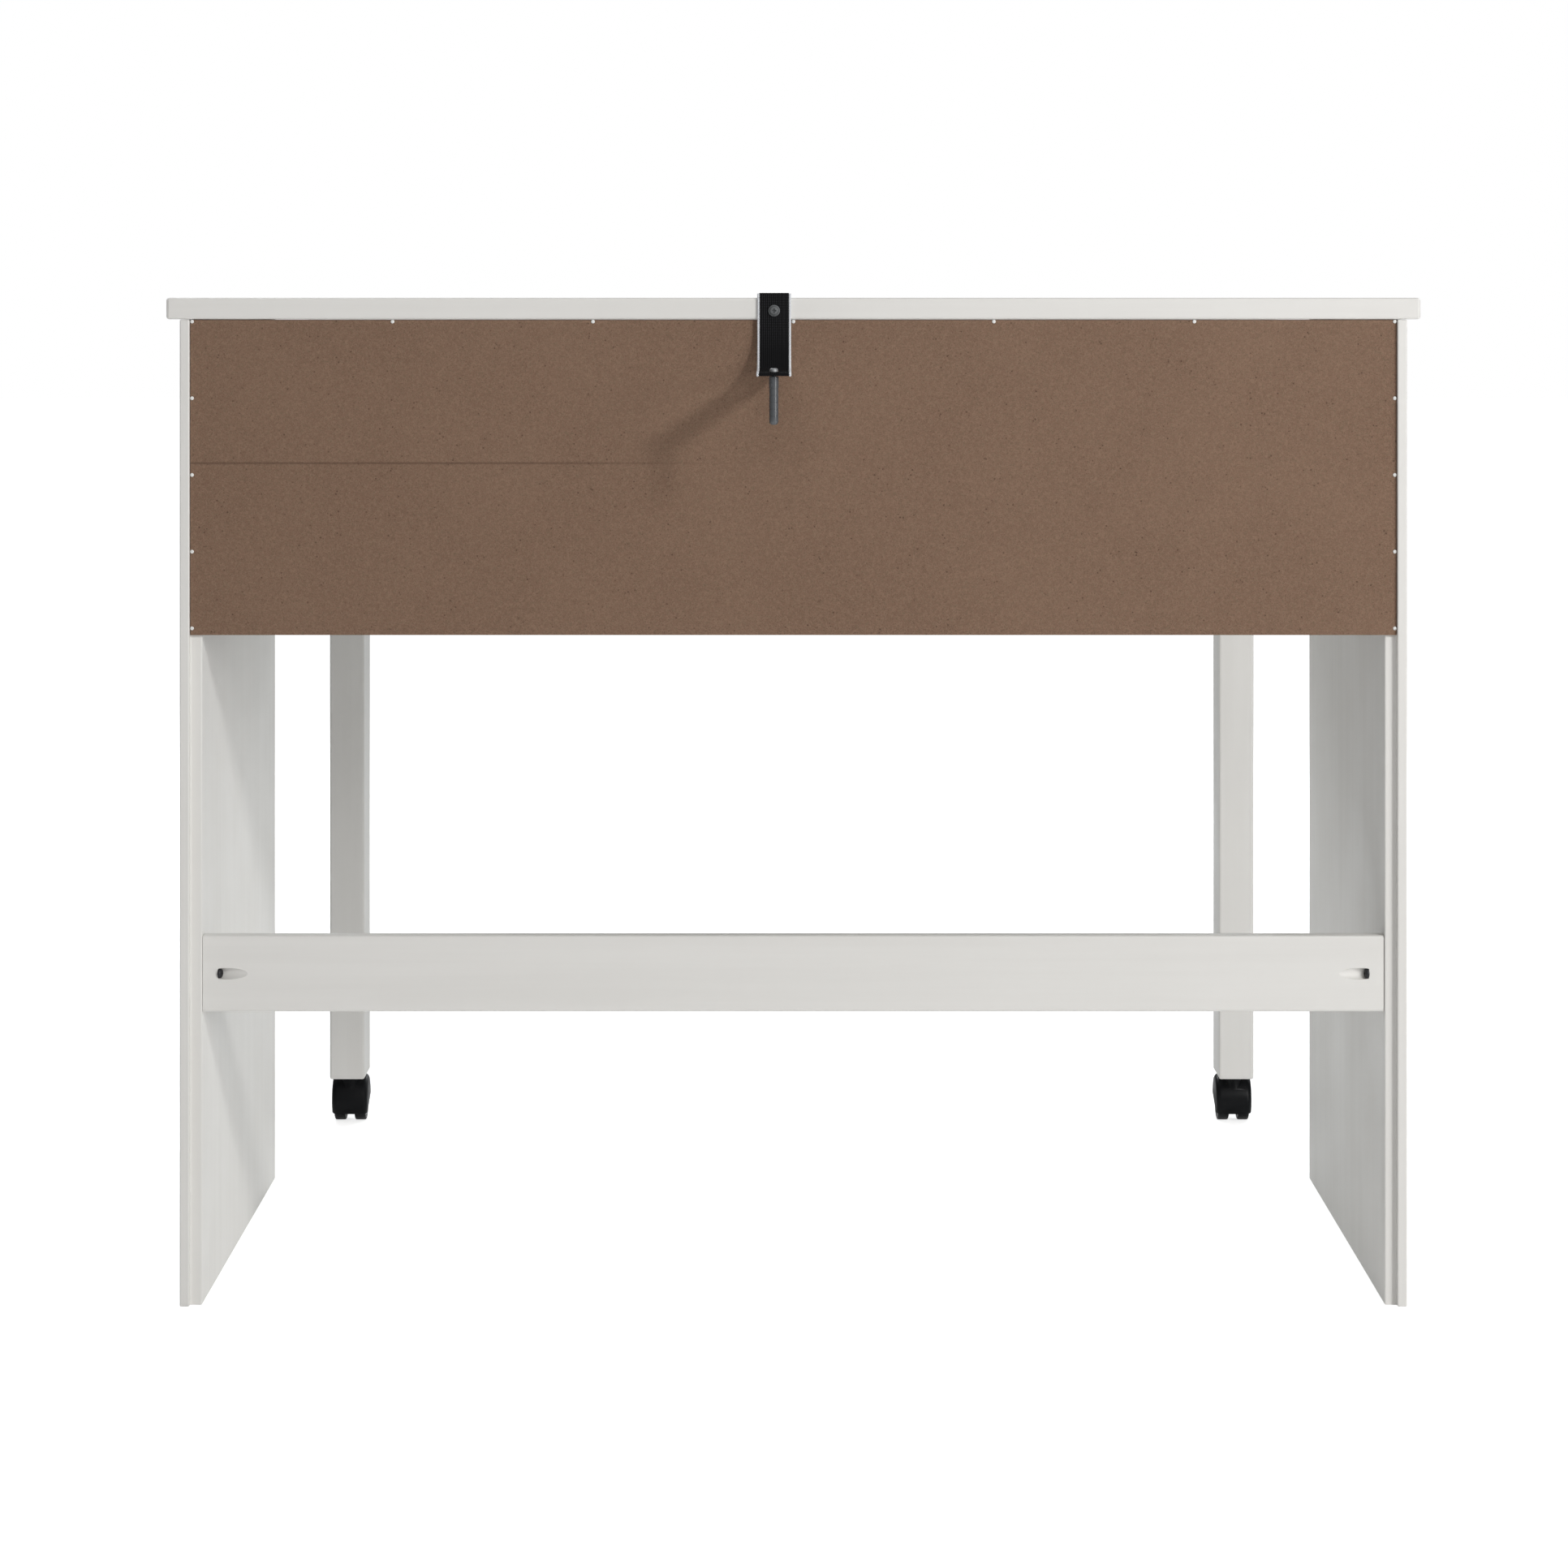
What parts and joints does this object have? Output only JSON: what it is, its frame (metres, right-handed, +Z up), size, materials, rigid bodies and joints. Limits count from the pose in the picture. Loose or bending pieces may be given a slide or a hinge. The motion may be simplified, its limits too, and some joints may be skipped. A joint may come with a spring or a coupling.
{
  "type": "sewing table",
  "caption": "White board sewing table with a pull-out leaf that rolls on castored legs, a half-height hardboard back and a wall strap.",
  "frame": {"origin": "on the floor under the middle of the bounding box, with the leaf pulled out to its stop", "axes": "+Z up, +Y the way the leaf pulls out, -Y the back with the strap, +X to the right seen from the back"},
  "size_m": [0.93, 0.915, 0.7516],
  "materials": {
    "white_board": "smooth white coating on particle board",
    "hardboard": "raw brown hardboard",
    "painted_nail": "white painted steel",
    "black_steel": "blackened steel",
    "zinc_steel": "zinc plated",
    "grey_nylon": "grey moulded nylon",
    "black_nylon": "black moulded nylon",
    "black_webbing": "woven black webbing with pale edge threads"
  },
  "bodies": {
    "table": {"top_panel": "white_board", "side_panel_left": "white_board", "side_panel_right": "white_board", "back_panel": "hardboard", "rear_top_rail": "white_board", "rear_stretcher": "white_board", "back_nail_01": "painted_nail", "back_nail_02": "painted_nail", "back_nail_03": "painted_nail", "back_nail_04": "painted_nail", "back_nail_05": "painted_nail", "back_nail_06": "painted_nail", "back_nail_07": "painted_nail", "back_nail_08": "painted_nail", "back_nail_09": "painted_nail", "back_nail_10": "painted_nail", "back_nail_11": "painted_nail", "back_nail_12": "painted_nail", "back_nail_13": "painted_nail", "back_nail_14": "painted_nail", "back_nail_15": "painted_nail", "stretcher_screw_left": "black_steel", "stretcher_screw_right": "black_steel", "cam_lock_left_front": "zinc_steel", "cam_lock_left_rear": "zinc_steel", "cam_lock_right_front": "zinc_steel", "cam_lock_right_rear": "zinc_steel", "slide_spacer_left": "white_board", "slide_spacer_right": "white_board", "slide_outer_left": "zinc_steel", "slide_outer_right": "zinc_steel", "strap_tab": "black_webbing", "strap_screw": "zinc_steel"},
    "extension": {"extension_leaf": "white_board", "extension_front_apron": "white_board", "extension_rear_rail": "white_board", "extension_side_rail_left": "white_board", "extension_side_rail_right": "white_board", "leg_left": "white_board", "leg_right": "white_board", "slide_inner_left": "zinc_steel", "slide_inner_right": "zinc_steel", "caster_socket_left": "grey_nylon", "caster_socket_right": "grey_nylon"},
    "slide_middle_left": {"slide_middle_left": "zinc_steel"},
    "slide_middle_right": {"slide_middle_right": "zinc_steel"},
    "caster_left": {"caster_hood_left": "black_nylon", "caster_stem_left": "zinc_steel", "caster_axle_left": "zinc_steel"},
    "caster_right": {"caster_hood_right": "black_nylon", "caster_stem_right": "zinc_steel", "caster_axle_right": "zinc_steel"},
    "wheel_left_outer": {"wheel_left_outer": "black_nylon"},
    "wheel_left_inner": {"wheel_left_inner": "black_nylon"},
    "wheel_right_outer": {"wheel_right_outer": "black_nylon"},
    "wheel_right_inner": {"wheel_right_inner": "black_nylon"},
    "strap_tail": {"strap_tail": "black_webbing", "wall_plug": "grey_nylon", "plug_screw": "zinc_steel"}
  },
  "joints": [
    {"name": "leaf_slide", "type": "slide", "parent": "table", "child": "extension", "axis": [0, 1, 0], "range_m": [-0.298, 0]},
    {"name": "slide_middle_left", "type": "slide", "parent": "table", "child": "slide_middle_left", "axis": [0, 1, 0], "range_m": [-0.149, 0]},
    {"name": "slide_middle_right", "type": "slide", "parent": "table", "child": "slide_middle_right", "axis": [0, 1, 0], "range_m": [-0.149, 0]},
    {"name": "caster_swivel_left", "type": "hinge", "parent": "extension", "child": "caster_left", "pos_m": [-0.401, 0.419, 0.042], "axis": [0, 0, 1], "continuous": true},
    {"name": "caster_swivel_right", "type": "hinge", "parent": "extension", "child": "caster_right", "pos_m": [0.401, 0.419, 0.042], "axis": [0, 0, 1], "continuous": true},
    {"name": "wheel_spin_left_outer", "type": "hinge", "parent": "caster_left", "child": "wheel_left_outer", "pos_m": [-0.401, 0.432, 0.02], "axis": [1, 0, 0], "continuous": true},
    {"name": "wheel_spin_left_inner", "type": "hinge", "parent": "caster_left", "child": "wheel_left_inner", "pos_m": [-0.401, 0.432, 0.02], "axis": [1, 0, 0], "continuous": true},
    {"name": "wheel_spin_right_outer", "type": "hinge", "parent": "caster_right", "child": "wheel_right_outer", "pos_m": [0.401, 0.432, 0.02], "axis": [1, 0, 0], "continuous": true},
    {"name": "wheel_spin_right_inner", "type": "hinge", "parent": "caster_right", "child": "wheel_right_inner", "pos_m": [0.401, 0.432, 0.02], "axis": [1, 0, 0], "continuous": true},
    {"name": "strap_flex", "type": "hinge", "parent": "table", "child": "strap_tail", "pos_m": [-0.0143, -0.35548, 0.70368], "axis": [1, 0, 0], "range_deg": [-45, 55]}
  ],
  "couplings": [
    {"joint": "slide_middle_left", "follows": "leaf_slide", "ratio": 0.5},
    {"joint": "slide_middle_right", "follows": "leaf_slide", "ratio": 0.5}
  ]
}
